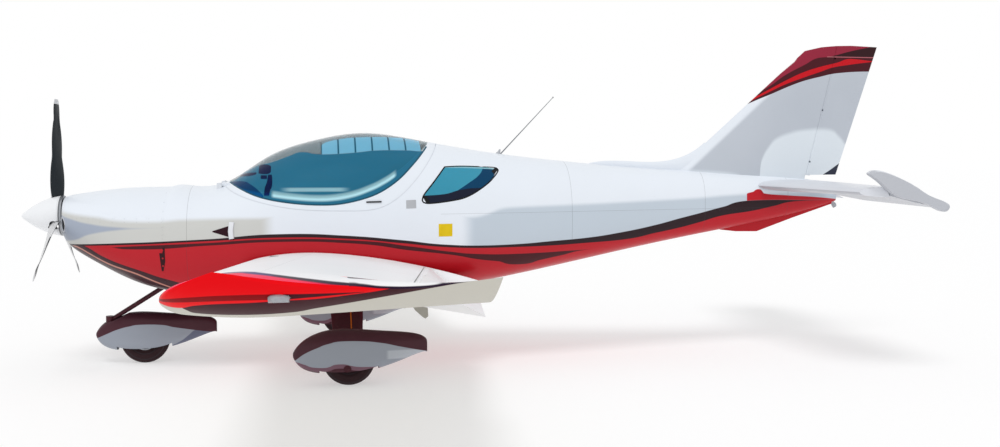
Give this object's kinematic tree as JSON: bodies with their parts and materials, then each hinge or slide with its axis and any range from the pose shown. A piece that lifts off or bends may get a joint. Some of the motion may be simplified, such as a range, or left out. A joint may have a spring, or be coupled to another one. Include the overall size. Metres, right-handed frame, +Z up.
{
  "type": "light sport aircraft",
  "caption": "Low-wing microlight aeroplane with tricycle gear, tilting bubble canopy, side-by-side seats, tractor propeller and moving control surfaces.",
  "frame": {"origin": "middle of the footprint on the ground, below the aircraft's middle", "axes": "+X aft along the fuselage, +Y to the starboard wing tip, +Z up"},
  "size_m": [6.5965, 8.65, 2.405],
  "materials": {
    "white_paint": "gloss",
    "red_paint": "gloss",
    "red_metal": "gloss",
    "clear_glazing": "clear",
    "bare_steel": "brushed",
    "bare_alloy": "satin",
    "tyre": "matt",
    "engine": "rough",
    "dark_composite": "satin",
    "upholstery": "woven",
    "cabin_trim": "matt"
  },
  "bodies": {
    "airframe": {"fuselage_shell": "white_paint", "cowl_upper": "white_paint", "cowl_lower": "red_paint", "rear_windows": "clear_glazing", "firewall": "bare_steel", "baggage_bulkhead": "cabin_trim", "canopy_hinges": "bare_alloy", "engine_block": "engine", "wing_left": "white_paint", "wing_right": "white_paint", "wing_tips": "red_paint", "stabiliser": "white_paint", "fin": "white_paint", "ventral_fin": "red_paint", "main_gear_legs": "dark_composite", "main_axles": "bare_alloy", "main_spats": "red_paint", "nose_leg": "red_metal", "cabin_floor": "cabin_trim", "instrument_panel": "cabin_trim", "seat_bases": "cabin_trim", "seat_cushions": "upholstery", "seat_backs": "upholstery", "centre_console": "cabin_trim", "control_sticks": "cabin_trim", "position_lamps": "clear_glazing", "tie_down_rings": "bare_steel", "antenna": "bare_steel"},
    "propeller": {"propeller_hub": "bare_alloy", "propeller_blades": "dark_composite", "spinner": "white_paint"},
    "canopy": {"canopy_frame": "white_paint", "canopy_glass": "clear_glazing"},
    "port_aileron": {"aileron_left": "white_paint"},
    "starboard_aileron": {"aileron_right": "white_paint"},
    "port_flap": {"flap_left": "white_paint"},
    "starboard_flap": {"flap_right": "white_paint"},
    "elevator_body": {"elevator": "white_paint", "elevator_tips": "white_paint"},
    "rudder_body": {"rudder": "white_paint"},
    "main_wheel_left": {"main_rim_left": "bare_alloy", "main_tyre_left": "tyre", "brake_disc_left": "bare_steel"},
    "main_wheel_right": {"main_rim_right": "bare_alloy", "main_tyre_right": "tyre", "brake_disc_right": "bare_steel"},
    "nose_swivel": {"nose_fork": "bare_alloy", "nose_spat": "red_paint"},
    "nose_wheel": {"nose_rim": "bare_alloy", "nose_tyre": "tyre"}
  },
  "joints": [
    {"name": "propeller_spin", "type": "hinge", "parent": "airframe", "child": "propeller", "pos_m": [-3.052, 0, 1.098], "axis": [1, 0, 0], "continuous": true},
    {"name": "canopy_tilt", "type": "hinge", "parent": "airframe", "child": "canopy", "pos_m": [-1.868, 0, 1.33], "axis": [0, -1, 0], "range_deg": [0, 50]},
    {"name": "aileron_left_hinge", "type": "hinge", "parent": "airframe", "child": "port_aileron", "pos_m": [-0.60326, -2.5, 0.8534], "axis": [-0.1039, -0.9907, 0.0883], "range_deg": [-5, 31]},
    {"name": "aileron_right_hinge", "type": "hinge", "parent": "airframe", "child": "starboard_aileron", "pos_m": [-0.60326, 2.5, 0.8534], "axis": [0.1039, -0.9907, -0.0883], "range_deg": [-31, 5]},
    {"name": "flap_left_hinge", "type": "hinge", "parent": "airframe", "child": "port_flap", "pos_m": [-0.41445, -0.7, 0.69303], "axis": [0.1039, 0.9907, -0.0883], "range_deg": [-25, 5]},
    {"name": "flap_right_hinge", "type": "hinge", "parent": "airframe", "child": "starboard_flap", "pos_m": [-0.41445, 0.7, 0.69303], "axis": [-0.1039, 0.9907, 0.0883], "range_deg": [-25, 5]},
    {"name": "elevator_hinge", "type": "hinge", "parent": "airframe", "child": "elevator_body", "pos_m": [2.74, 0, 1.292], "axis": [0, -1, 0], "range_deg": [0, 43]},
    {"name": "rudder_hinge", "type": "hinge", "parent": "airframe", "child": "rudder_body", "pos_m": [2.705, 0, 1.33], "axis": [0.2308, 0, 0.973], "range_deg": [-25, 25]},
    {"name": "main_wheel_left_spin", "type": "hinge", "parent": "airframe", "child": "main_wheel_left", "pos_m": [-0.976, -1.03, 0.175], "axis": [0, 1, 0], "continuous": true},
    {"name": "main_wheel_right_spin", "type": "hinge", "parent": "airframe", "child": "main_wheel_right", "pos_m": [-0.976, 1.03, 0.175], "axis": [0, 1, 0], "continuous": true},
    {"name": "nose_caster", "type": "hinge", "parent": "airframe", "child": "nose_swivel", "pos_m": [-2.7, 0, 0.3], "axis": [0, 0, 1], "range_deg": [-60, 60]},
    {"name": "nose_wheel_spin", "type": "hinge", "parent": "nose_swivel", "child": "nose_wheel", "pos_m": [-2.45, 0, 0.175], "axis": [0, 1, 0], "continuous": true}
  ],
  "couplings": [
    {"joint": "aileron_right_hinge", "follows": "aileron_left_hinge", "ratio": -1},
    {"joint": "flap_right_hinge", "follows": "flap_left_hinge", "ratio": 1}
  ]
}
